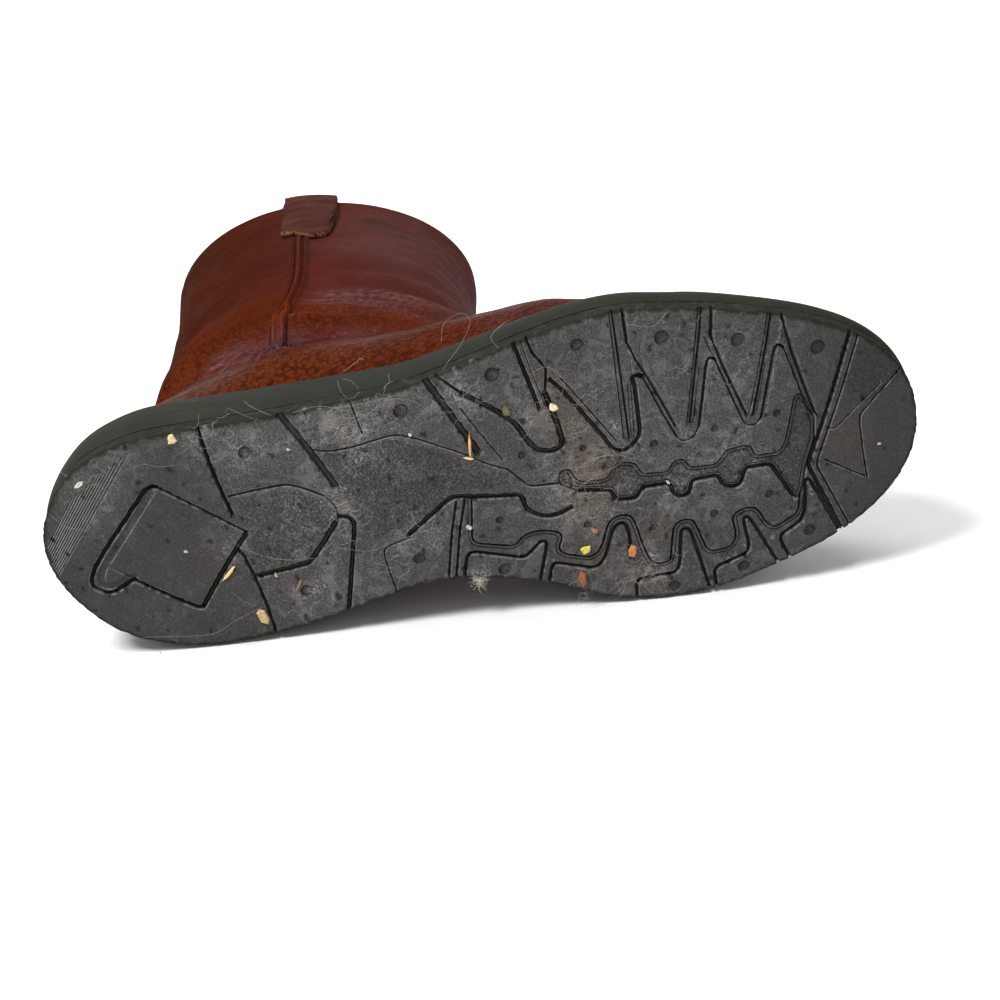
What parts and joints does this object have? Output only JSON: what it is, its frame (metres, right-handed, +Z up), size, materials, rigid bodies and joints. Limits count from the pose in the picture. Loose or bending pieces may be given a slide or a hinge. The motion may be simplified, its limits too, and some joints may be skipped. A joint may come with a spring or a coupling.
{
  "type": "pull-on work boot",
  "caption": "Pull-on leather work boot for the right foot with a wedge sole of lugged rubber, a side seam strip and pull tabs at the collar, lying on its inner side.",
  "frame": {"origin": "middle of the boot's box at floor height, as it lies on its inner side", "axes": "+X towards the toe, +Y from the tread towards the collar, +Z up from the inner side to the outer side"},
  "size_m": [0.3132, 0.2936, 0.1132],
  "materials": {
    "tread_rubber": "worn matte black rubber with dust in its grooves",
    "wedge_rubber": "smooth matte grey-black rubber",
    "leather": "oiled red-brown leather with a pebbled grain, satin sheen",
    "trim_leather": "oiled red-brown leather strip with raw edges",
    "insole_board": "tan leather board, worn smooth"
  },
  "bodies": {
    "root": {"outsole": "tread_rubber", "midsole": "wedge_rubber", "insole": "insole_board", "upper": "leather", "side_seam_outer": "trim_leather", "side_seam_inner": "trim_leather", "pull_tab_outer": "trim_leather", "pull_tab_inner": "trim_leather"}
  },
  "joints": []
}
